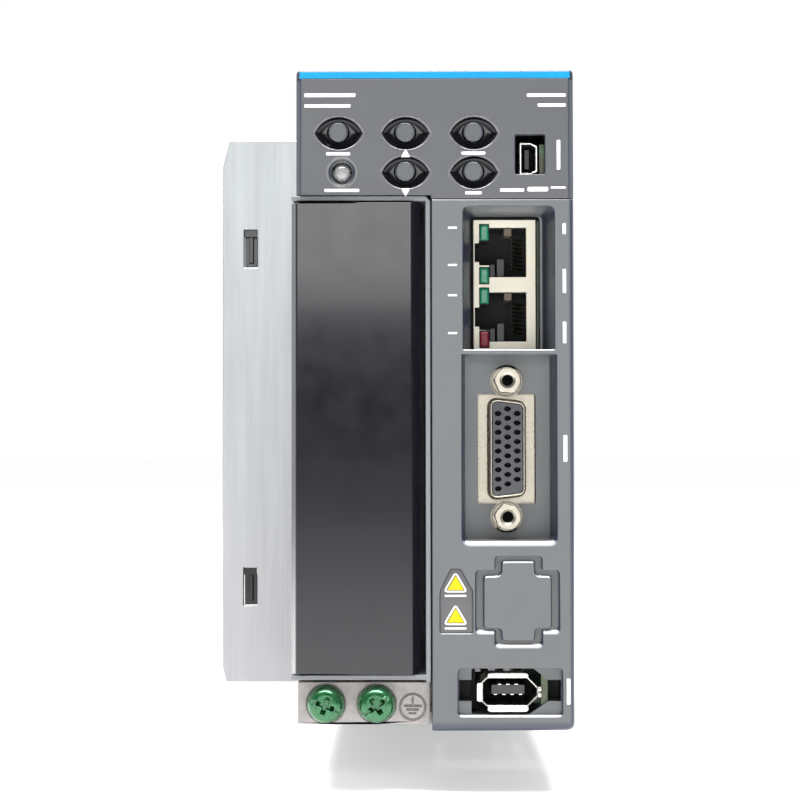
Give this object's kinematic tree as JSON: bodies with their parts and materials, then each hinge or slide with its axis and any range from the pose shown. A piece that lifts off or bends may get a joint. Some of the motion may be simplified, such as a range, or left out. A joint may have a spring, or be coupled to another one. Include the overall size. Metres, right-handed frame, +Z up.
{
  "type": "servo drive",
  "caption": "panel-mounting servo drive with a finned rear heat sink and side flange, hinged terminal cover, operator keys and recessed network, I/O, encoder and service connectors",
  "frame": {"origin": "middle of the case width and height, on the rear face of the mounting plate", "axes": "+X to the right seen from the front, +Z up, the front faces -Y and the rear mounting face looks along +Y"},
  "size_m": [0.0992, 0.1517, 0.189],
  "materials": {
    "accent_blue": "cyan blue",
    "bezel_plastic": "satin dark grey",
    "board_green": "green solder mask",
    "brushed_aluminium": "vertically brushed bright aluminium",
    "capacitor_sleeve": "dark shrink sleeve",
    "case_plastic": "fine textured black",
    "cast_aluminium": "raw cast, slightly rough",
    "chip_black": "moulded black package",
    "choke_core": "wound ferrite core",
    "copper": "bare copper",
    "cover_gloss": "smoked glossy black",
    "cream_plastic": "moulded cream",
    "dark_plastic": "moulded black",
    "extruded_aluminium": "as extruded",
    "fan_plastic": "moulded black",
    "gold_contact": "gold plated",
    "green_steel": "green lacquered, semi gloss",
    "header_cream": "moulded cream",
    "io_nickel": "warm nickel plated",
    "io_plastic": "moulded dark grey",
    "key_plastic": "satin grey",
    "label_dark": "printed film, dark ground",
    "label_yellow": "printed yellow",
    "lamp_clear": "clear domed lens, unlit",
    "lamp_green": "green lens, unlit",
    "lamp_red": "red lens, unlit",
    "nickel_plate": "nickel plated",
    "operator_plastic": "smooth satin dark grey",
    "panel_plastic": "fine textured dark grey",
    "relay_blue": "moulded blue case",
    "terminal_plastic": "moulded dark grey",
    "transformer_tape": "taped winding",
    "zinc_steel": "zinc plated"
  },
  "bodies": {
    "body": {"mounting_plate": "brushed_aluminium", "flange_clips": "dark_plastic", "heat_sink": "extruded_aluminium", "plate_screws": "zinc_steel", "case_shell": "case_plastic", "case_screws": "zinc_steel", "ground_foot": "cast_aluminium", "ground_screws": "green_steel", "ground_washers": "green_steel", "foot_screw": "zinc_steel", "terminal_bezel": "bezel_plastic", "terminal_block": "terminal_plastic", "terminal_clamps": "nickel_plate", "terminal_screws": "nickel_plate", "terminal_board": "board_green", "board_posts": "copper", "front_panel": "panel_plastic", "network_well": "panel_plastic", "io_well": "panel_plastic", "encoder_well": "panel_plastic", "operator_panel": "operator_plastic", "accent_strip": "accent_blue", "charge_lamp": "lamp_clear", "panel_board": "board_green", "key_switches": "dark_plastic", "service_port_shell": "nickel_plate", "service_port_tongue": "dark_plastic", "network_jack": "cream_plastic", "network_contacts": "gold_contact", "network_lamps_green": "lamp_green", "network_lamp_red": "lamp_red", "network_shield": "nickel_plate", "io_plate": "io_nickel", "io_insulator": "io_plastic", "io_contacts": "gold_contact", "io_jackscrews": "nickel_plate", "encoder_shell": "nickel_plate", "encoder_tongue": "dark_plastic", "encoder_contacts": "gold_contact", "label_plate": "label_dark", "label_signs": "label_yellow", "control_board": "board_green", "control_chips": "chip_black", "board_headers": "header_cream", "power_board": "board_green", "bus_capacitors": "capacitor_sleeve", "power_module": "chip_black", "module_screws": "zinc_steel", "charge_relay": "relay_blue", "line_choke": "choke_core", "supply_transformer": "transformer_tape", "fan_frame": "fan_plastic", "fan_screws": "zinc_steel"},
    "mode_key": {"key_mode": "key_plastic"},
    "up_key": {"key_up": "key_plastic"},
    "shift_key": {"key_shift": "key_plastic"},
    "down_key": {"key_down": "key_plastic"},
    "set_key": {"key_set": "key_plastic"},
    "cover": {"terminal_cover": "cover_gloss"},
    "rotor": {"fan_rotor": "fan_plastic"}
  },
  "joints": [
    {"name": "mode_press", "type": "slide", "parent": "body", "child": "mode_key", "axis": [0, 1, 0], "range_m": [0, 0.0005], "stiffness_N_per_m": 1500, "springref_m": -0.0002},
    {"name": "up_press", "type": "slide", "parent": "body", "child": "up_key", "axis": [0, 1, 0], "range_m": [0, 0.0005], "stiffness_N_per_m": 1500, "springref_m": -0.0002},
    {"name": "shift_press", "type": "slide", "parent": "body", "child": "shift_key", "axis": [0, 1, 0], "range_m": [0, 0.0005], "stiffness_N_per_m": 1500, "springref_m": -0.0002},
    {"name": "down_press", "type": "slide", "parent": "body", "child": "down_key", "axis": [0, 1, 0], "range_m": [0, 0.0005], "stiffness_N_per_m": 1500, "springref_m": -0.0002},
    {"name": "set_press", "type": "slide", "parent": "body", "child": "set_key", "axis": [0, 1, 0], "range_m": [0, 0.0005], "stiffness_N_per_m": 1500, "springref_m": -0.0002},
    {"name": "cover_hinge", "type": "hinge", "parent": "body", "child": "cover", "pos_m": [-0.0325, -0.125, 0], "axis": [0, 0, -1], "range_deg": [0, 105]},
    {"name": "fan_spin", "type": "hinge", "parent": "body", "child": "rotor", "pos_m": [0, -0.025, 0.0715], "axis": [0, 0, 1], "continuous": true}
  ]
}
